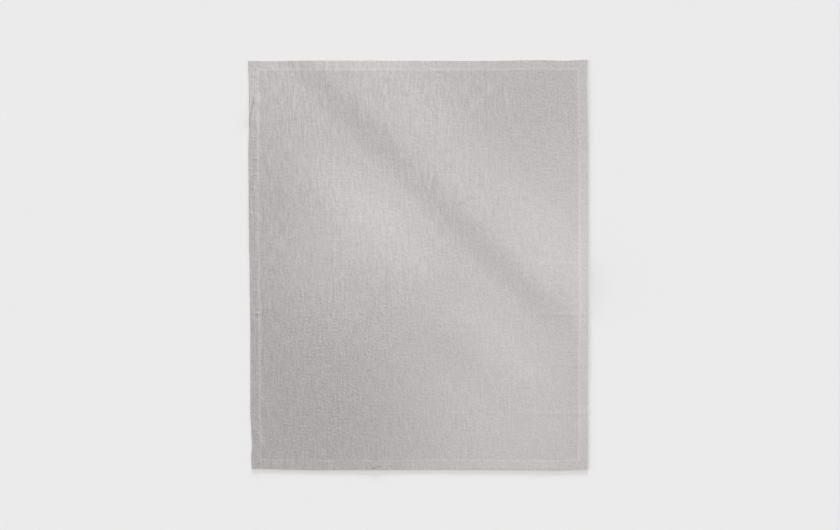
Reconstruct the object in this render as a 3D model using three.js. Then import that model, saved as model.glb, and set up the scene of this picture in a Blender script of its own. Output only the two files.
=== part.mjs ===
// A linen tablecloth spread out face up on a flat surface, with a hem turned twice all round.
// Millimetres. X runs across the cloth, Y along it, and Z up from the surface it lies on.
// The origin is on that surface, under the middle of the cloth.
import * as THREE from "three";

const WIDTH = 1450;
const LENGTH = 1750;
const CELL = 54; // widest cell of the faceted sheet

// One layer of linen in the middle, two in the hem, three where the raw edge is turned in.
const HEM_WIDTH = 43;
const TURN_WIDTH = 8;
const CLOTH_THICK = 1;
const HEM_THICK = 1.8;
const TURN_THICK = 2.4;
const EDGE_THICK = 1.2; // the outer fold is a little rounded
const EDGE_ROUND = 3;
const STEP = 3; // the top comes up, or down, one layer within this

// From the outer edge inwards. A row for each place where the thickness changes.
const HEM_SECTION = [
  { inset: 0, thick: EDGE_THICK },
  { inset: EDGE_ROUND, thick: HEM_THICK },
  { inset: HEM_WIDTH - TURN_WIDTH - STEP, thick: HEM_THICK },
  { inset: HEM_WIDTH - TURN_WIDTH, thick: TURN_THICK },
  { inset: HEM_WIDTH, thick: TURN_THICK },
  { inset: HEM_WIDTH + STEP, thick: CLOTH_THICK },
];

// How far each side runs outside the plain rectangle, at places along it from its middle.
const LEFT_SIDE = [
  { at: -875, out: -10 },
  { at: -825, out: -8 },
  { at: -775, out: -11 },
  { at: -700, out: -8 },
  { at: -620, out: -4 },
  { at: -300, out: -4 },
  { at: 0, out: -1 },
  { at: 110, out: 2 },
  { at: 300, out: 3 },
  { at: 475, out: 4 },
  { at: 600, out: 2 },
  { at: 750, out: 2 },
  { at: 875, out: 5 },
];
const RIGHT_SIDE = [
  { at: -875, out: -1 },
  { at: -430, out: -1 },
  { at: -225, out: 1 },
  { at: -40, out: 0 },
  { at: 520, out: 0 },
  { at: 640, out: -2 },
  { at: 760, out: -5 },
  { at: 875, out: -4 },
];
const NEAR_END = [
  { at: -725, out: -5 },
  { at: -550, out: -1 },
  { at: -460, out: 1 },
  { at: -280, out: 0 },
  { at: 150, out: -1 },
  { at: 480, out: 0 },
  { at: 590, out: 2 },
  { at: 650, out: -1 },
  { at: 725, out: -2 },
];
const FAR_END = [
  { at: -725, out: 0 },
  { at: -650, out: -1 },
  { at: -530, out: 0 },
  { at: 260, out: 0 },
  { at: 530, out: 3 },
  { at: 630, out: 1 },
  { at: 725, out: 5 },
];

// Soft folds left where the cloth was not drawn flat. Each crest runs from x1, y1 to x2, y2 and dies
// out over fade past its ends. It falls off over above and below, to its two sides.
const SOFT_FOLDS = [
  // the long diagonal fold, which starts at the far end and is steep on its lower side
  { x1: -433, y1: 894, x2: 492, y2: -32, lift: 9.3, above: 300, below: 160, fade: 450 },
  // a broad swell below it on the left
  { x1: -470, y1: 350, x2: -60, y2: -50, lift: 5, above: 190, below: 290, fade: 170 },
  // a lower one on the right
  { x1: 180, y1: -280, x2: 430, y2: -500, lift: 3.5, above: 170, below: 200, fade: 190 },
];
// The hem's weight keeps all sides but the far one down: a fold dies out this near to them.
const HELD_DOWN = 80;

// Creases left by storage, folded small. They stand up like a low tent, most of all in the hem.
const CREASE_SPREAD = 15;
const CREASES_ALONG = [
  { at: -366, from: 0, to: 720, lift: 0.8 },
  { at: -110, from: -660, to: -230, lift: 0.4 },
  { at: 82, from: 380, to: 690, lift: 0.5 },
  { at: 296, from: 690, to: 875, lift: 0.8 },
];
const CREASES_ACROSS = [
  { at: -635, from: 560, to: 725, lift: 0.7 },
  { at: -429, from: 560, to: 725, lift: 0.4 },
  { at: -212, from: 540, to: 725, lift: 1 },
  { at: 5, from: 560, to: 725, lift: 0.6 },
];
const CREASE_FADE = 120;

const LINEN_GREY = 0xbebbb9;

// 1 at 0 and falling smoothly to 0 at 1 and past it, the same on both sides.
function bell(a) {
  return Math.abs(a) < 1 ? (1 + Math.cos(Math.PI * a)) / 2 : 0;
}

// Between the two rows of a table that value lies between, eased by ease.
function tableValue(table, key, result, value, ease) {
  const next = table.findIndex((row) => row[key] >= value);
  if (next === 0) return table[0][result];
  if (next < 0) return table.at(-1)[result];
  const [a, b] = [table[next - 1], table[next]];
  const share = ease((value - a[key]) / (b[key] - a[key]));
  return a[result] + share * (b[result] - a[result]);
}

const straight = (share) => share;
const rounded = (share) => 1 - bell(share);

// How far the side that a point is nearer to runs outside the rectangle there.
function outward(side, opposite, across, along) {
  return tableValue(across < 0 ? opposite : side, "at", "out", along, rounded);
}

// Where a point of the plain rectangle lies: the sides' unevenness dies out towards the middle.
function onOutline(x, y) {
  const shiftX = (outward(RIGHT_SIDE, LEFT_SIDE, x, y) * x) / (WIDTH / 2);
  const shiftY = (outward(FAR_END, NEAR_END, y, x) * y) / (LENGTH / 2);
  return [x + shiftX, y + shiftY];
}

function foldLift(x, y, fold) {
  const [dx, dy] = [fold.x2 - fold.x1, fold.y2 - fold.y1];
  const run = Math.hypot(dx, dy);
  const along = ((x - fold.x1) * dx + (y - fold.y1) * dy) / run;
  const across = ((y - fold.y1) * dx - (x - fold.x1) * dy) / run;
  const past = Math.max(0, -along, along - run);
  return fold.lift * bell(across / (across > 0 ? fold.above : fold.below)) * bell(past / fold.fade);
}

function creaseLift(across, along, crease) {
  const past = Math.max(0, crease.from - along, along - crease.to);
  const tent = Math.max(0, 1 - Math.abs(across - crease.at) / CREASE_SPREAD);
  return crease.lift * tent * bell(past / CREASE_FADE);
}

// How far a point of the plain rectangle is from its nearest side.
function insetAt(x, y) {
  return Math.min(WIDTH / 2 - Math.abs(x), LENGTH / 2 - Math.abs(y));
}

// The height of the cloth's underside. It is 0 wherever the cloth lies flat.
function underside(x, y) {
  const free = 1 - bell(Math.min(WIDTH / 2 - Math.abs(x), LENGTH / 2 + y) / HELD_DOWN);
  const folds = SOFT_FOLDS.reduce((sum, fold) => sum + free * foldLift(x, y, fold), 0);
  const along = CREASES_ALONG.reduce((sum, crease) => sum + creaseLift(x, y, crease), 0);
  const across = CREASES_ACROSS.reduce((sum, crease) => sum + creaseLift(y, x, crease), 0);
  return folds + along + across;
}

function thickness(x, y) {
  return tableValue(HEM_SECTION, "inset", "thick", insetAt(x, y), straight);
}

// The lines of the sheet's grid one way: at each change in the hem, at each crease and beside it,
// and evenly between those.
function gridLines(half, creases) {
  const hems = HEM_SECTION.flatMap((row) => [row.inset - half, half - row.inset]);
  const tents = creases.flatMap((c) => [c.at - CREASE_SPREAD, c.at, c.at + CREASE_SPREAD]);
  const fixed = [...hems, ...tents].sort((a, b) => a - b);
  return fixed.flatMap((line, i) => {
    if (i === 0) return [line];
    const gap = line - fixed[i - 1];
    const cells = Math.ceil(gap / CELL);
    return Array.from({ length: cells }, (_, k) => fixed[i - 1] + (gap * (k + 1)) / cells);
  });
}

// A flat box with a cell for each pair of neighbouring lines, bent to the cloth's shape.
function sheetGeometry() {
  const xs = gridLines(WIDTH / 2, CREASES_ALONG);
  const ys = gridLines(LENGTH / 2, CREASES_ACROSS);
  const [columns, rows] = [xs.length - 1, ys.length - 1];
  const geometry = new THREE.BoxGeometry(columns, rows, 1, columns, rows, 1);
  const place = geometry.getAttribute("position");
  for (let i = 0; i < place.count; i++) {
    const x = xs[Math.round(place.getX(i) + columns / 2)];
    const y = ys[Math.round(place.getY(i) + rows / 2)];
    const low = underside(x, y);
    const isTop = place.getZ(i) > 0;
    place.setXYZ(i, ...onOutline(x, y), isTop ? low + thickness(x, y) : low);
  }
  geometry.computeVertexNormals();
  return geometry;
}

const linen = new THREE.MeshStandardMaterial({ color: LINEN_GREY, roughness: 0.92, metalness: 0 });

const cloth = new THREE.Mesh(sheetGeometry(), linen);
cloth.name = "cloth";

const tablecloth = new THREE.Group();
tablecloth.add(cloth);

export default tablecloth;
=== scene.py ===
import math
from bisect import bisect_left, bisect_right
from collections import defaultdict

import bpy
import numpy as np
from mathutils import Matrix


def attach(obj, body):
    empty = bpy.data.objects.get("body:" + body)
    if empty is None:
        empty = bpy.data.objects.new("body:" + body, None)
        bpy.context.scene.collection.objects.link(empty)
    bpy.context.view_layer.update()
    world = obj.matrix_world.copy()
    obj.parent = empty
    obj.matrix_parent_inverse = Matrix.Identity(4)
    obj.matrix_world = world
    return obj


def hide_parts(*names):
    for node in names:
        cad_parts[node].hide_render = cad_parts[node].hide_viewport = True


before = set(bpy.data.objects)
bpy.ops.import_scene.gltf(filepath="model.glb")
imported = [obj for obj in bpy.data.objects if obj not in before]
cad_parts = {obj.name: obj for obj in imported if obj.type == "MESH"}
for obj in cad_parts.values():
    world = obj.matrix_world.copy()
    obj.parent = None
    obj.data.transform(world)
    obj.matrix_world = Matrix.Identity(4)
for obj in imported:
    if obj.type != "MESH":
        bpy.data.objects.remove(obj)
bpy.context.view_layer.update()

# Camera. It hangs straight above the middle of the cloth and looks down through a long lens, so that
# the four sides stay straight and the whole cloth lies inside the picture.
MM = 0.001  # sizes in this file are in millimetres, and the scene is in metres
LENS = 85
SENSOR = 36
PICTURE_ACROSS = 840 * 4.28  # the picture is 840 pixels wide, and the cloth is drawn 4.28 mm to a pixel
CAMERA_AT = (5, 1)  # the middle of the picture, from the middle of the cloth

camera = bpy.data.objects.new("camera", bpy.data.cameras.new("camera"))
camera.data.lens = LENS
camera.data.sensor_width = SENSOR
camera.location = (CAMERA_AT[0] * MM, CAMERA_AT[1] * MM, PICTURE_ACROSS * LENS / SENSOR * MM)
bpy.context.scene.collection.objects.link(camera)
bpy.context.scene.camera = camera

# The linen panel. One piece of plain woven linen, cut 1.55 m by 1.85 m, its raw edge turned in by 8 mm
# and turned again to a 43 mm hem with mitred corners. It lies face up, as it was put down, with soft
# folds, the creases of its storage, and puckers where the hem was sewn.
WIDTH = 1450
LENGTH = 1750
HEM = 43

# How far each side runs outside the plain rectangle, at places along it from its middle.
LEFT_SIDE = [(-875, -10), (-825, -8), (-775, -11), (-700, -8), (-620, -4), (-300, -4), (0, -1), (110, 2),
             (300, 3), (475, 4), (600, 2), (750, 2), (875, 5)]
RIGHT_SIDE = [(-875, -1), (-430, -1), (-225, 1), (-40, 0), (520, 0), (640, -2), (760, -5), (875, -4)]
NEAR_END = [(-725, -5), (-550, -1), (-460, 1), (-280, 0), (150, -1), (480, 0), (590, 2), (650, -1),
            (725, -2)]
FAR_END = [(-725, 0), (-650, -1), (-530, 0), (260, 0), (530, 3), (630, 1), (725, 5)]


def eased(table, place):
    """Reads a table of place and value, going smoothly from each row to the next."""
    at, value = np.array(table, float).T
    after = np.clip(np.searchsorted(at, place), 1, len(at) - 1)
    share = np.clip((place - at[after - 1]) / (at[after] - at[after - 1]), 0, 1)
    return value[after - 1] + (value[after] - value[after - 1]) * (1 - np.cos(np.pi * share)) / 2


def on_outline(x, y):
    """Where a point of the plain rectangle lies: the unevenness of the sides dies out towards the middle."""
    side = np.where(x < 0, eased(LEFT_SIDE, y), eased(RIGHT_SIDE, y))
    end = np.where(y < 0, eased(NEAR_END, x), eased(FAR_END, x))
    return x + side * x / (WIDTH / 2), y + end * y / (LENGTH / 2)


def inset(x, y):
    """How far a point of the plain rectangle is from its nearest side."""
    return np.minimum(WIDTH / 2 - np.abs(x), LENGTH / 2 - np.abs(y))


# The section through the hem, from the outer fold inwards: the height of the face and of the underside
# above the table. Two layers, then three where the raw edge is turned in, a groove where the seam
# draws them together, and one layer, which comes down to the table slowly.
SEAM = 40
FACE = [(0, 0.56), (0.6, 0.61), (2, 0.63), (5, 0.64), (32, 0.64), (35, 0.82), (37.5, 0.84), (SEAM, 0.77),
        (42.4, 0.82), (43.4, 0.78), (58, 0.6), (90, 0.34)]
UNDERSIDE = [(0, 0.56), (0.6, 0.1), (2, 0), (38.8, 0), (SEAM, 0.22), (41.4, 0), (42.4, 0), (43.4, 0.3),
             (46, 0.3), (58, 0.26), (90, 0)]
LAYERS = [(0, 2), (33, 2), (35.5, 3), (42.4, 3), (43.4, 1)]

# Soft folds: a crest from x1, y1 to x2, y2 that falls off over above and below, its two sides, and
# dies out over fade past its ends.
SOFT_FOLDS = [
    # x1, y1, x2, y2, lift, above, below, fade
    (-433, 894, 492, -32, 9.3, 300, 160, 450),
    (-470, 350, -60, -50, 5, 190, 290, 170),
    (180, -280, 430, -500, 3.5, 170, 200, 190),
]
HELD_DOWN = 80  # the hem's weight keeps three sides down: a fold dies out this near to them

# Folds of the same kind in the left hem: it rolls up towards its seam, and a slanting tuck, steep on its
# left, crosses it near its far end.
LEFT_HEM_FOLDS = [
    (-689, -830, -689, 600, 0.75, 36, 12, 60),
    (-719, 622, -701, 700, 2.9, 8, 40, 45),
]

# Creases of storage: a low soft ridge at a place across or along the cloth, between two others.
CREASE_HALF = 12
CREASE_FADE = 120
CREASES_ALONG = [(-366, 0, 720, 0.4), (-110, -660, -230, 0.25), (82, 380, 690, 0.4), (296, 690, 875, 0.7)]
CREASES_ACROSS = [(-635, 480, 725, 0.5), (-429, 560, 725, 0.25), (-212, 540, 725, 0.55), (5, 560, 725, 0.35)]

# Wrinkles and puckers, each a short ridge: its middle, its turn from the X axis in degrees, its length,
# how far it spreads to each side, and its lift.
PUCKERS = [
    # across the left hem
    (-692, 457, 20, 38, 8, 1.7),
    (-701, 387, 20, 38, 5, 1.9),
    (-705, 330, 90, 58, 5.5, 1.5),
    (-713, 219, 90, 36, 5, 0.8),
    (-698, 225, 85, 24, 5, 0.9),
    (-695, 174, 92, 42, 5, 0.9),
    (-682, -587, 45, 50, 6, 1.2),
    # across the far hem
    (-696, 838, 45, 40, 5, 1.2),
    (-648, 852, 88, 50, 6, 0.8),
    (-547, 852, 95, 50, 6, 0.7),
    (-433, 850, 84, 54, 6, 0.9),
    (-398, 852, 76, 52, 7, 1.4),
    (-355, 850, 70, 56, 7, 1.3),
    (-46, 851, 100, 46, 8, 1.1),
    # the fullness above the gather in the near hem, and three small ones beside the near right corner
    (-186, -861, 13, 66, 5, 0.6),
    (661, -758, 21, 36, 6.5, 1.3),
    (625, -779, 3, 34, 6.5, 0.9),
    (653, -783, 0, 22, 7, 1),
    # upright wrinkles in the far left quarter
    (-641, 671, 86, 72, 8, 1.2),
    (-588, 672, 90, 62, 7, 0.8),
    (-564, 676, 88, 66, 7, 1.1),
    (-551, 640, 84, 56, 6.5, 0.9),
    (-517, 638, 84, 64, 7, 1.3),
    (-488, 570, 91, 120, 7.5, 1.4),
    (-455, 606, 88, 90, 8, 1.1),
    (-406, 694, 88, 56, 5.5, 1.2),
    (-418, 577, 90, 140, 7, 0.8),
    (-318, 720, 62, 40, 6, 1.1),
    (-430, 782, 84, 40, 6, 0.7),
    (-569, 783, 60, 46, 6, 0.8),
    # and in the far right one
    (371, 700, 90, 170, 10, 1),
    (30, 770, 90, 90, 8, 0.8),
    # small slanting ones further in
    (-276, -63, 27, 50, 6, 0.6),
    (-250, 737, 35, 34, 6, 0.6),
    (-53, 722, 30, 36, 6, 0.5),
    (-412, 424, -45, 22, 5, 0.7),
]
# The gather under that fullness: the layers have closed up to a short gap, too deep for light to reach, and
# its shade is painted in.
GATHER = (-186, -867, 14, 62, 4, -0.62)

# Ridges scattered from a fixed seed. Each kind has its turn in degrees and how far that varies, and the
# least and the most of its length, its spread and its lift.
WRINKLES = 700  # small upright ones all over, no nearer to a side than CLEAR
WRINKLE = {"turn": (90, 9), "length": (30, 110), "spread": (4.5, 9), "lift": (0.12, 0.65)}
CLEAR = 20
CRIMPS = 120  # short ones in the far left quarter
CRIMP = {"turn": (82, 16), "length": (20, 60), "spread": (4, 6.5), "lift": (0.3, 0.9)}
CRIMPED = (-455, 660, 115, 100)  # their middle, and how far they scatter from it each way
HEM_PUCKERS = [("left", 52, 0.9), ("far", 34, 0.6), ("near", 26, 0.45), ("right", 26, 0.4)]  # lift last
PUCKER = {"turn": (0, 28), "length": (24, 52), "spread": (4.5, 8), "lift": (0.3, 1)}
PUCKER_CLEAR = 30  # no nearer to the ends of its hem
PUCKER_INSET = (8, 34)  # how far in from its side

# The mitre of a corner shows as a low ridge across it: its length, spread and lift.
MITRE = (1.6 * HEM, 4.5, 0.5)

# Where the cloth is drawn into more rucks and wrinkles, and where its weave lies coarser: each has this
# share more at x, y, falling off to nothing over the distances across and along.
RUCKED = [
    # x, y, across, along, share
    (-650, 0, 130, 1100, 0.2),
    (-430, 700, 330, 260, 0.4),
    (-60, 720, 260, 210, 0.35),
    (310, 720, 260, 260, 0.45),
    (110, 330, 200, 330, 0.4),
    (-350, -260, 330, 220, 0.12),
]
COARSER = [
    (-300, -280, 520, 300, 0.45),
    (-430, -660, 400, 330, 0.5),
    (120, 730, 330, 260, 0.1),
    (600, 660, 300, 420, 0.4),
]
RUCKS = 0.42  # the share of rucks and wrinkles in the middle of the cloth
RUCKS_LOST = 0.22  # how much less it is at the right side, and how much more at the left one
FEWEST_RUCKS = 0.05
COARSE_LOST = 0.08  # the same for the weave's own share, which is 1 in the middle

# Smooth unevenness: over what distances across and along it changes, its seed, and how much it is.
RUCKS_UNEVEN = [(60, 110, 4, 0.12), (170, 150, 5, 0.1)]
LIFT_UNEVEN = [(150, 190, 1, 0.3), (47, 83, 2, 0.12), (13, 61, 3, 0.05)]
LOOSE = 0.5  # how far the cloth stands off the table on average
LOOSE_AT_SIDE = 0.2  # the share of that at its sides
LOOSE_FROM = 60  # and how far in it is the whole
ROUNDED = 0.2  # how softly the cloth comes down to the table where a hollow would go into it
rng = np.random.default_rng(11)


def bell(a):
    """1 at 0, falling smoothly to 0 at 1 and past it, the same on both sides."""
    return np.where(np.abs(a) < 1, (1 + np.cos(np.pi * np.clip(a, -1, 1))) / 2, 0)


def wavy(x, y, across, along, seed):
    """Smooth unevenness between -1 and 1 that changes over the distances across and along."""
    size = (int(2 * LENGTH / along) + 2, int(2 * WIDTH / across) + 2)
    knots = np.random.default_rng(seed).uniform(-1, 1, size)
    column, row = (x + WIDTH) / across, (y + LENGTH) / along
    i, j = np.floor(column).astype(int), np.floor(row).astype(int)
    s, t = column - i, row - j
    s, t = s * s * (3 - 2 * s), t * t * (3 - 2 * t)
    near = knots[j, i] * (1 - s) + knots[j, i + 1] * s
    far = knots[j + 1, i] * (1 - s) + knots[j + 1, i + 1] * s
    return near * (1 - t) + far * t


def uneven(x, y, table):
    """The sum of a table's unevenness at a point."""
    return sum(much * wavy(x, y, across, along, seed) for across, along, seed, much in table)


def fold_lift(x, y, x1, y1, x2, y2, lift, above, below, fade):
    dx, dy = x2 - x1, y2 - y1
    run = math.hypot(dx, dy)
    along = ((x - x1) * dx + (y - y1) * dy) / run
    across = ((y - y1) * dx - (x - x1) * dy) / run
    past = np.maximum(0, np.maximum(-along, along - run))
    return lift * bell(across / np.where(across > 0, above, below)) * bell(past / fade)


def crease_lift(across, along, at, start, end, lift):
    past = np.maximum(0, np.maximum(start - along, along - end))
    return lift * bell((across - at) / CREASE_HALF) * bell(past / CREASE_FADE)


def ridge(x, y, at_x, at_y, turn, length, spread, lift):
    """The lift of a short ridge, or the depth of a short groove where lift is negative."""
    c, s = math.cos(math.radians(turn)), math.sin(math.radians(turn))
    dx, dy = x - at_x, y - at_y
    return lift * bell((dy * c - dx * s) / spread) * bell((dx * c + dy * s) / (length / 2))


def patches(x, y, table):
    """The sum of the soft patches of a table at a point."""
    return sum(share * bell(np.hypot((x - at_x) / across, (y - at_y) / along))
               for at_x, at_y, across, along, share in table)


def rucked(x, y):
    """The share of rucks and wrinkles at a point: in patches, and least along the right side."""
    share = RUCKS - RUCKS_LOST * x / (WIDTH / 2) + uneven(x, y, RUCKS_UNEVEN)
    return np.clip(share + patches(x, y, RUCKED), FEWEST_RUCKS, 1)


def coarse(x, y):
    """The share of the weave's own unevenness at a point."""
    return 1 - COARSE_LOST * x / (WIDTH / 2) + patches(x, y, COARSER)


def scattered(kind, x, y, share, turned=0):
    """A ridge of this kind at x, y, with this share of the kind's lift."""
    turn = rng.normal(*kind["turn"]) + turned
    length = rng.uniform(*kind["length"])
    spread = rng.uniform(*kind["spread"])
    return x, y, turn, length, spread, share * rng.uniform(*kind["lift"])


def wrinkle_rows():
    """The small wrinkles: as the weave runs, each is a little off upright."""
    rows = []
    for _ in range(WRINKLES):
        x = rng.uniform(CLEAR - WIDTH / 2, WIDTH / 2 - CLEAR)
        y = rng.uniform(CLEAR - LENGTH / 2, LENGTH / 2 - CLEAR)
        rows.append(scattered(WRINKLE, x, y, rucked(x, y)))
    for _ in range(CRIMPS):
        x = CRIMPED[0] + rng.normal(0, CRIMPED[2])
        y = CRIMPED[1] + rng.normal(0, CRIMPED[3])
        rows.append(scattered(CRIMP, x, y, 1))
    return rows


def pucker_rows(side, count, lift):
    """Puckers across one side's hem, where the layers were fed unevenly under the needle."""
    rows = []
    runs_up = side in ("left", "right")
    half_along = (LENGTH if runs_up else WIDTH) / 2
    half_across = (WIDTH if runs_up else LENGTH) / 2
    sign = -1 if side in ("left", "near") else 1
    for _ in range(count):
        along = rng.uniform(PUCKER_CLEAR - half_along, half_along - PUCKER_CLEAR)
        across = sign * (half_across - rng.uniform(*PUCKER_INSET))
        if runs_up:
            rows.append(scattered(PUCKER, across, along, lift))
        else:
            rows.append(scattered(PUCKER, along, across, lift, turned=90))
    return rows


all_wrinkles = PUCKERS + wrinkle_rows()
for hem_puckers in HEM_PUCKERS:
    all_wrinkles += pucker_rows(*hem_puckers)
for east in (-1, 1):
    for north in (-1, 1):
        middle = (east * (WIDTH / 2 - HEM / 2), north * (LENGTH / 2 - HEM / 2))
        all_wrinkles.append((*middle, 45 * east * north, *MITRE))


def relief(x, y):
    """How far the cloth stands off the table, before its own thickness."""
    free = 1 - bell(np.minimum(WIDTH / 2 - np.abs(x), LENGTH / 2 + y) / HELD_DOWN)
    height = free * sum(fold_lift(x, y, *fold) for fold in SOFT_FOLDS)
    height += sum(fold_lift(x, y, *fold) for fold in LEFT_HEM_FOLDS)
    height += sum(crease_lift(x, y, *crease) for crease in CREASES_ALONG)
    height += sum(crease_lift(y, x, *crease) for crease in CREASES_ACROSS)
    height += uneven(x, y, LIFT_UNEVEN)
    for wrinkle in all_wrinkles:
        at_x, at_y, _, length, spread, _ = wrinkle
        reach = length / 2 + spread
        near = np.nonzero((np.abs(x - at_x) < reach) & (np.abs(y - at_y) < reach))
        height[near] += ridge(x[near], y[near], *wrinkle)
    height += LOOSE * (LOOSE_AT_SIDE + (1 - LOOSE_AT_SIDE) * np.clip(inset(x, y) / LOOSE_FROM, 0, 1))
    return (height + np.sqrt(height ** 2 + ROUNDED ** 2)) / 2


def heights(x, y):
    """The underside and the face above the table, in millimetres, at points of the plain rectangle."""
    off = relief(x, y)
    return off + eased(UNDERSIDE, inset(x, y)), off + eased(FACE, inset(x, y)) + ridge(x, y, *GATHER)


# The mesh's lines: how far in from the sides they lie, on the face and on the underside.
FACE_LINES = [0, 0.6, 2, 4.5, 7, 9, 11, 13.5, 16, 19, 23, 28, 32, 35, 37.5, SEAM, 42.4, 43.4, 46, 52, 58]
UNDER_LINES = [0, 0.6, 2, 14, 28, 38.8, SEAM, 41.4, 42.4, 43.4, 46, 58]
# Elsewhere they lie evenly, closest where the cloth is most wrinkled, with a few more at each crease.
HEM_STEPS = (3.5, 6, 4, 6)  # how far apart along the left, right, far and near hem
LEFT_STEP = 5.5  # from the left side to LEFT_PART_TO
LEFT_PART_TO = -80
RIGHT_STEP = 7.5  # and from there to the right side
ROW_STEP = 7.5
CREASE_LINES = (-9, -4.5, 0, 4.5, 9)
TOO_NEAR = 0.4  # an even line this share of a step from a crease's line is left out
UNDER_COLUMN_STEP = 14
UNDER_ROW_STEP = 18
UNDER_HEM_STEPS = (12, 12, 12, 12)
ON_EDGE = 0.01  # a point nearer to the outer fold than this lies on it


def even(start, end, step):
    """Lines from start to end, evenly, no more than step apart."""
    return list(np.linspace(start, end, math.ceil((end - start) / step) + 1))


def patchwork(lines, interior, along_left, along_right, along_far, along_near):
    """The grids of one face: a strip along each side with its lines at insets, four corners, the middle."""
    west, east = [x - WIDTH / 2 for x in lines], [WIDTH / 2 - x for x in lines[::-1]]
    south, north = [y - LENGTH / 2 for y in lines], [LENGTH / 2 - y for y in lines[::-1]]
    half_x, half_y = WIDTH / 2 - lines[-1], LENGTH / 2 - lines[-1]
    grids = [(x, y) for x in (west, east) for y in (south, north)]
    grids.append((west, even(-half_y, half_y, along_left)))
    grids.append((east, even(-half_y, half_y, along_right)))
    grids.append((even(-half_x, half_x, along_far), north))
    grids.append((even(-half_x, half_x, along_near), south))
    return [([round(x, 2) for x in xs], [round(y, 2) for y in ys]) for xs, ys in grids + interior]


def cell_outlines(grids, rim):
    """Each cell's corners, and every corner of a finer neighbour that lies on its sides."""
    on_column, on_row = defaultdict(set), defaultdict(set)
    for xs, ys in grids:
        for x in xs:
            on_column[x].update(ys)
        for y in ys:
            on_row[y].update(xs)
    for x, y in rim:
        on_column[x].add(y)
        on_row[y].add(x)
    on_column = {x: sorted(ys) for x, ys in on_column.items()}
    on_row = {y: sorted(xs) for y, xs in on_row.items()}

    def between(places, low, high):
        return places[bisect_left(places, low):bisect_right(places, high)]

    for xs, ys in grids:
        for x0, x1 in zip(xs, xs[1:]):
            for y0, y1 in zip(ys, ys[1:]):
                outline = [(x, y0) for x in between(on_row[y0], x0, x1)]
                outline += [(x1, y) for y in between(on_column[x1], y0, y1)[1:]]
                outline += [(x, y1) for x in between(on_row[y1], x0, x1)[-2::-1]]
                outline += [(x0, y) for y in between(on_column[x0], y0, y1)[-2:0:-1]]
                yield outline


def mesh_object(name, points, faces):
    mesh = bpy.data.meshes.new(name)
    mesh.from_pydata(points, [], faces)
    mesh.shade_smooth()
    made = bpy.data.objects.new(name, mesh)
    bpy.context.scene.collection.objects.link(made)
    return made


def spaced(start, end, step, creases):
    """Even lines, and those of the creases among them."""
    extra = [at + side for at, *_ in creases for side in CREASE_LINES]
    kept = [place for place in even(start, end, step)
            if place in (start, end) or all(abs(place - line) > TOO_NEAR * step for line in extra)]
    return sorted(kept + [line for line in extra if start < line < end])


def panel_mesh():
    """The whole sheet as one closed mesh: its face and its underside share the corners of the outer fold."""
    half_x, half_y = WIDTH / 2 - FACE_LINES[-1], LENGTH / 2 - FACE_LINES[-1]
    left_columns = spaced(-half_x, LEFT_PART_TO, LEFT_STEP, CREASES_ALONG)
    right_columns = spaced(LEFT_PART_TO, half_x, RIGHT_STEP, CREASES_ALONG)
    rows = spaced(-half_y, half_y, ROW_STEP, CREASES_ACROSS)
    face = patchwork(FACE_LINES, [(left_columns, rows), (right_columns, rows)], *HEM_STEPS)
    middle = (even(-half_x, half_x, UNDER_COLUMN_STEP), even(-half_y, half_y, UNDER_ROW_STEP))
    under = patchwork(UNDER_LINES, [middle], *UNDER_HEM_STEPS)

    number, faces = {}, []
    rim = {(x, y) for xs, ys in face + under for x in xs for y in ys if inset(x, y) < ON_EDGE}

    def corner(x, y, is_face):
        return number.setdefault((x, y, is_face and inset(x, y) > ON_EDGE), len(number))

    for outline in cell_outlines(face, rim):
        faces.append([corner(x, y, True) for x, y in outline])
    for outline in cell_outlines(under, rim):
        faces.append([corner(x, y, False) for x, y in reversed(outline)])
    x, y, is_face = np.array(list(number), float).T
    low, high = heights(x, y)
    z = np.where(is_face > 0, high, low)
    placed = np.column_stack([*on_outline(x, y), z]) * MM
    made = mesh_object("tablecloth", placed.tolist(), faces)
    at_points = {
        "layers": eased(LAYERS, inset(x, y)),
        "rucks": rucked(x, y),
        "coarse": coarse(x, y),
        "painted_slit_shade": -ridge(x, y, *GATHER),  # its depth, which also says how far the painted shade darkens the colour there
    }
    for name, values in at_points.items():
        held = made.data.attributes.new(name, "FLOAT", "POINT")
        held.data.foreach_set("value", values.astype(np.float32))
    return made


tablecloth = panel_mesh()


def linear(shade):
    """An sRGB hex value as the linear colour that a shader takes."""
    parts = [(shade >> shift & 255) / 255 for shift in (16, 8, 0)]
    return [*(p / 12.92 if p <= 0.04045 else ((p + 0.055) / 1.055) ** 2.4 for p in parts), 1]


def add(tree, kind, inputs=None, **settings):
    """Adds a node with its settings. inputs gives a socket a value, or another node's output."""
    made = tree.nodes.new(kind)
    for name, value in settings.items():
        setattr(made, name, value)
    for socket, value in (inputs or {}).items():
        if isinstance(value, bpy.types.NodeSocket):
            tree.links.new(value, made.inputs[socket])
        else:
            made.inputs[socket].default_value = value
    return made


# The linen's shades: of one layer and of the hem, each where its yarns lie deepest and where they stand
# out, and a painted shade for the inside of the gather.
ONE_LAYER_DARK = 0xB2AEAD
ONE_LAYER_PALE = 0xC8C4C3
HEM_DARK = 0xBBB7B6
HEM_PALE = 0xD1CDCC
SLIT_PAINTED_SHADE = 0x625E5C

# The uneven yarns. They really lie 0.7 mm apart, too fine for a picture of the whole cloth to show, so
# each streak is drawn about twelve times as coarse. Streaks run up the cloth, then across it, and slubs
# lie where they cross: how wide and how long each is, its wander, its strength, and where it is strong.
YARNS = [
    # across, along, wander, strength, attribute
    (8.5, 60, 0.5, 1.1, "rucks"),
    (60, 8.5, 0.5, 0.25, "coarse"),
    (9.5, 9.5, 0.0, 0.55, "coarse"),
]
YARNS_THROUGH = 60  # how many times a metre the streaks change with the cloth's height
DARK_TO_PALE = 0.3  # the unevenness at which a shade is palest, and below nought at which it is darkest
YARNS_STAND = 1.2  # how far the yarns stand out of the cloth for an unevenness of 1


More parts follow.
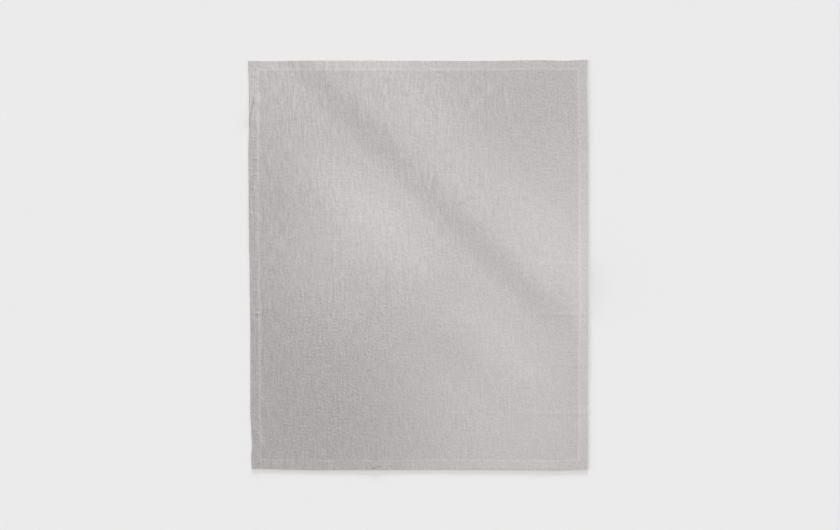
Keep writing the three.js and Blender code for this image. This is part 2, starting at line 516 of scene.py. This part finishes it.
def linen_plain_woven():
    """Linen, plain woven from slubby yarn and washed: dull, with the uneven yarns showing as fine streaks
    both ways. A hem lets less of the table through, so it looks a little paler than one layer."""
    made = bpy.data.materials.new("linen_plain_woven")
    made.use_nodes = True
    tree = made.node_tree
    tree.nodes.clear()
    place = add(tree, "ShaderNodeTexCoord").outputs["Object"]
    yarns = 0.0
    for across, along, wander, strength, where in YARNS:
        scaled = add(tree, "ShaderNodeVectorMath", {
            0: place, 1: (1 / across / MM, 1 / along / MM, YARNS_THROUGH)}, operation="MULTIPLY").outputs[0]
        streaks = add(tree, "ShaderNodeTexNoise", {
            "Vector": scaled, "Scale": 1.0, "Detail": 1.0, "Roughness": 0.4,
            "Distortion": wander}).outputs["Fac"]
        either_way = add(tree, "ShaderNodeMath", {0: streaks, 1: 0.5}, operation="SUBTRACT").outputs[0]
        here = add(tree, "ShaderNodeAttribute", attribute_name=where).outputs["Fac"]
        weight = add(tree, "ShaderNodeMath", {0: here, 1: strength}, operation="MULTIPLY").outputs[0]
        yarns = add(tree, "ShaderNodeMath", {
            0: either_way, 1: weight, 2: yarns}, operation="MULTIPLY_ADD").outputs[0]
    tone = add(tree, "ShaderNodeMapRange", {
        "Value": yarns, "From Min": -DARK_TO_PALE, "From Max": DARK_TO_PALE}).outputs[0]
    one_layer = add(tree, "ShaderNodeMix", {
        0: tone, 6: linear(ONE_LAYER_DARK), 7: linear(ONE_LAYER_PALE)}, data_type="RGBA").outputs[2]
    hem = add(tree, "ShaderNodeMix", {
        0: tone, 6: linear(HEM_DARK), 7: linear(HEM_PALE)}, data_type="RGBA").outputs[2]
    layers = add(tree, "ShaderNodeAttribute", attribute_name="layers").outputs["Fac"]
    in_hem = add(tree, "ShaderNodeMapRange", {
        "Value": layers, "From Min": 1.0, "From Max": 3.0}).outputs[0]
    open_cloth = add(tree, "ShaderNodeMix", {0: in_hem, 6: one_layer, 7: hem}, data_type="RGBA").outputs[2]
    # Painted shade: the colour goes towards a dark grey as far as the gather is deep.
    painted_slit_shade = add(tree, "ShaderNodeAttribute", attribute_name="painted_slit_shade").outputs["Fac"]
    colour = add(tree, "ShaderNodeMix", {
        0: painted_slit_shade, 6: open_cloth, 7: linear(SLIT_PAINTED_SHADE)}, data_type="RGBA").outputs[2]
    bump = add(tree, "ShaderNodeBump", {
        "Height": yarns, "Distance": YARNS_STAND * MM, "Strength": 1.0}).outputs[0]
    shader = add(tree, "ShaderNodeBsdfPrincipled", {
        "Base Color": colour, "Roughness": 0.9, "IOR": 1.5, "Specular IOR Level": 0.3,
        "Sheen Weight": 0.12, "Sheen Roughness": 0.5, "Normal": bump})
    add(tree, "ShaderNodeOutputMaterial", {"Surface": shader.outputs[0]})
    return made


tablecloth.data.materials.append(linen_plain_woven())
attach(tablecloth, "root")
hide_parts("cloth")

# The stitching. One row of lockstitch in sewing thread holds the hem's inner fold down all round,
# about 7 stitches to the inch, so each stitch is a short bead of thread drawn into the cloth.
STITCH = 3.6
STITCH_LONG = 2.9
THREAD = 0.36
# The rings of a bead: their places in half stitches from its middle, their thickness in threads, and
# their rise above the seam.
BEAD_RINGS = [(-0.62, 0.75, -0.1), (-0.22, 1, 0.1), (0.22, 1, 0.1), (0.62, 0.75, -0.1)]
BEAD_SIDES = 6
BEAD_ENDS = -0.25  # its two ends go down into the cloth
UNDER_BEAD = (1, -1, -0.6)  # on the underside it is turned over, and flatter


def stitch_places():
    """The middle of each stitch on the plain rectangle, and the way the seam runs there."""
    half_x, half_y = WIDTH / 2 - SEAM, LENGTH / 2 - SEAM
    places = []
    for turn, (run, off) in enumerate([(half_x, half_y), (half_y, half_x)] * 2):
        count = round(2 * run / STITCH)
        c, s = round(math.cos(turn * math.pi / 2)), round(math.sin(turn * math.pi / 2))
        for k in range(count):
            along = (k + 0.5) / count * 2 * run - run
            places.append((c * along + s * off, s * along - c * off, c, s))
    return np.array(places, float)


def stitching(name, on_face):
    """One joined mesh of stitches: each is a tapered bead of six sides, both its ends drawn in."""
    bead = [(-STITCH_LONG / 2, 0, BEAD_ENDS)]
    for place, thick, rise in BEAD_RINGS:
        for k in range(BEAD_SIDES):
            angle = 2 * math.pi * k / BEAD_SIDES
            radius = THREAD / 2 * thick
            bead.append((place * STITCH_LONG / 2, radius * math.cos(angle), rise + radius * math.sin(angle)))
    bead.append((STITCH_LONG / 2, 0, BEAD_ENDS))
    last = len(bead) - 1
    bead_faces = []
    for k in range(BEAD_SIDES):
        after = (k + 1) % BEAD_SIDES
        bead_faces.append([0, 1 + after, 1 + k])
        for ring in range(len(BEAD_RINGS) - 1):
            low, high = 1 + ring * BEAD_SIDES, 1 + (ring + 1) * BEAD_SIDES
            bead_faces.append([low + k, low + after, high + after, high + k])
        bead_faces.append([last, last - BEAD_SIDES + k, last - BEAD_SIDES + after])
    bead = np.array(bead)
    if not on_face:
        bead = bead * UNDER_BEAD
    middle_x, middle_y, c, s = stitch_places().T[:, :, None]
    x = middle_x + c * bead[:, 0] - s * bead[:, 1]
    y = middle_y + s * bead[:, 0] + c * bead[:, 1]
    low, high = heights(middle_x[:, 0], middle_y[:, 0])
    z = (high if on_face else low)[:, None] + bead[:, 2]
    placed = np.column_stack([*(p.ravel() for p in on_outline(x, y)), z.ravel()]) * MM
    faces = [[stitch * len(bead) + v for v in face] for stitch in range(len(x)) for face in bead_faces]
    return mesh_object(name, placed.tolist(), faces)


# The thread's shades, between its plies and on them, and its twist.
THREAD_DARK = 0xB9B6B4
THREAD_PALE = 0xD4D2D0
TWIST = 2 / 3  # from one turn of the plies to the next


def spun_thread():
    """Sewing thread, three spun plies: a little paler than the linen and as dull."""
    made = bpy.data.materials.new("spun_sewing_thread")
    made.use_nodes = True
    tree = made.node_tree
    tree.nodes.clear()
    place = add(tree, "ShaderNodeTexCoord").outputs["Object"]
    plies = add(tree, "ShaderNodeTexNoise", {
        "Vector": place, "Scale": 1 / TWIST / MM, "Detail": 1.0}).outputs["Fac"]
    colour = add(tree, "ShaderNodeMix", {
        0: plies, 6: linear(THREAD_DARK), 7: linear(THREAD_PALE)}, data_type="RGBA").outputs[2]
    shader = add(tree, "ShaderNodeBsdfPrincipled", {
        "Base Color": colour, "Roughness": 0.7, "IOR": 1.5, "Specular IOR Level": 0.3})
    add(tree, "ShaderNodeOutputMaterial", {"Surface": shader.outputs[0]})
    return made


thread = spun_thread()
rows_of_stitches = [stitching("stitching_top", True), stitching("stitching_under", False)]
for row in rows_of_stitches:
    row.data.materials.append(thread)
    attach(row, "root")

# The floor. A plain pale board, matt, far larger than the picture.
FLOOR_HALF = 40  # in metres
PAINT_WHITE = 0xDCDCDC
corners = [(x * FLOOR_HALF, y * FLOOR_HALF, 0) for x, y in ((-1, -1), (1, -1), (1, 1), (-1, 1))]
floor = mesh_object("floor", corners, [(0, 1, 2, 3)])
matt_paint = bpy.data.materials.new("matt_white_paint")
matt_paint.use_nodes = True
paint = matt_paint.node_tree.nodes["Principled BSDF"]
paint.inputs["Base Color"].default_value = linear(PAINT_WHITE)
paint.inputs["Roughness"].default_value = 1.0
paint.inputs["Specular IOR Level"].default_value = 0.0
floor.data.materials.append(matt_paint)

# The light. A soft lamp beyond the far right corner skims the cloth and shows its relief, a pale room
# lies all round, and one lamp straight above the cloth is brighter in some places.
ROOM = 0.33
KEY_TURN = -35  # degrees left of the far end
KEY_RISE = 22
KEY_SOFT = 12
KEY_POWER = 3.86
PAPER_WHITE = 0xEBEBEB

bpy.context.scene.view_settings.view_transform = "Standard"
room = bpy.data.worlds.new("pale_room")
bpy.context.scene.world = room
room.use_nodes = True
tree = room.node_tree
tree.nodes.clear()
seen = add(tree, "ShaderNodeLightPath").outputs["Is Camera Ray"]
wall = add(tree, "ShaderNodeBackground", {"Color": linear(PAPER_WHITE)}).outputs[0]
glow = add(tree, "ShaderNodeBackground", {"Color": (1, 1, 1, 1), "Strength": ROOM}).outputs[0]
both = add(tree, "ShaderNodeMixShader", {0: seen, 1: glow, 2: wall}).outputs[0]
add(tree, "ShaderNodeOutputWorld", {"Surface": both})

cloth_only = bpy.data.collections.new("cloth_only")
floor_only = bpy.data.collections.new("floor_only")
for piece in (tablecloth, *rows_of_stitches):
    cloth_only.objects.link(piece)
floor_only.objects.link(floor)


def lamp(name, kind, power, turn, rise, lights=None):
    """A lamp that shines from turn degrees left of the far end and rise degrees above the table."""
    made = bpy.data.objects.new(name, bpy.data.lights.new(name, kind))
    made.data.energy = power
    made.rotation_euler = (math.radians(rise - 90), 0, math.radians(turn))
    made.light_linking.receiver_collection = lights
    bpy.context.scene.collection.objects.link(made)
    return made


key = lamp("key", "SUN", KEY_POWER, KEY_TURN, KEY_RISE, cloth_only)
key.data.angle = math.radians(KEY_SOFT)

# The floor's own lamps: one from above, and low ones, which the cloth's edge keeps off a soft strip.
FLOOR_LAMPS = [
    # name, power, turn, rise, softness
    ("floor_above", 0.97, 0, 90, 10),
    ("skim_far", 21, 0, 1.7, 1.5),
    ("skim_far_left", 2.9, 35, 5, 7),
    ("skim_far_right", 3.6, -50, 4, 6),
    ("skim_left", 9, 90, 3.2, 4.8),
]
for name, power, turn, rise, soft in FLOOR_LAMPS:
    made = lamp(name, "SUN", power, turn, rise, floor_only)
    made.data.angle = math.radians(soft)

# The overhead lamp: pools of light on the cloth. Each is even out to its core and fades out at its reach,
# and one with a strength below nought takes light away.
OVERHEAD_AT = 8000
OVERHEAD_POWER = 2500
OVERHEAD_CONE = 30
OVERHEAD_BLEND = 0.3
OVERHEAD_RADIUS = 300
POOLS = [
    # x, y, core, reach, strength
    (700, 520, 900, 1680, 0.24),
    (-120, 260, 0, 420, 0.13),
    (-370, 90, 0, 360, 0.14),
    (-550, 250, 0, 220, 0.05),
    (-330, 0, 0, 230, 0.05),
    (600, 50, 0, 480, 0.14),
    (-170, -430, 0, 350, -0.07),
    (330, -800, 0, 700, 0.17),
    (700, -860, 0, 360, 0.07),
    (-640, 900, 0, 520, 0.26),
    (-110, 660, 0, 260, -0.06),
    (170, 880, 0, 260, 0.15),
    (440, 800, 0, 380, -0.18),
    (740, -340, 0, 170, -0.2),
]
overhead = lamp("overhead", "SPOT", OVERHEAD_POWER, 0, 90, cloth_only)
overhead.location = (0, 0, OVERHEAD_AT * MM)
overhead.data.spot_size = math.radians(OVERHEAD_CONE)
overhead.data.spot_blend = OVERHEAD_BLEND
overhead.data.shadow_soft_size = OVERHEAD_RADIUS * MM
overhead.data.use_nodes = True
tree = overhead.data.node_tree
tree.nodes.clear()
# The lamp looks straight down, so x over z and y over z say where its light lands, in lamp heights.
aim = add(tree, "ShaderNodeSeparateXYZ", {0: add(tree, "ShaderNodeTexCoord").outputs["Normal"]}).outputs
flat = add(tree, "ShaderNodeCombineXYZ", {
    0: add(tree, "ShaderNodeMath", {0: aim[0], 1: aim[2]}, operation="DIVIDE").outputs[0],
    1: add(tree, "ShaderNodeMath", {0: aim[1], 1: aim[2]}, operation="DIVIDE").outputs[0]}).outputs[0]
total = 0.0
for x, y, core, reach, strength in POOLS:
    middle = (-x / OVERHEAD_AT, -y / OVERHEAD_AT, 0)
    away = add(tree, "ShaderNodeVectorMath", {0: flat, 1: middle}, operation="DISTANCE").outputs["Value"]
    pool = add(tree, "ShaderNodeMapRange", {
        "Value": away, "From Min": reach / OVERHEAD_AT, "From Max": core / OVERHEAD_AT,
        "To Min": 0.0, "To Max": strength}, interpolation_type="SMOOTHSTEP").outputs[0]
    total = add(tree, "ShaderNodeMath", {0: total, 1: pool}, operation="ADD").outputs[0]
glow = add(tree, "ShaderNodeEmission", {"Strength": total}).outputs[0]
add(tree, "ShaderNodeOutputLight", {"Surface": glow})
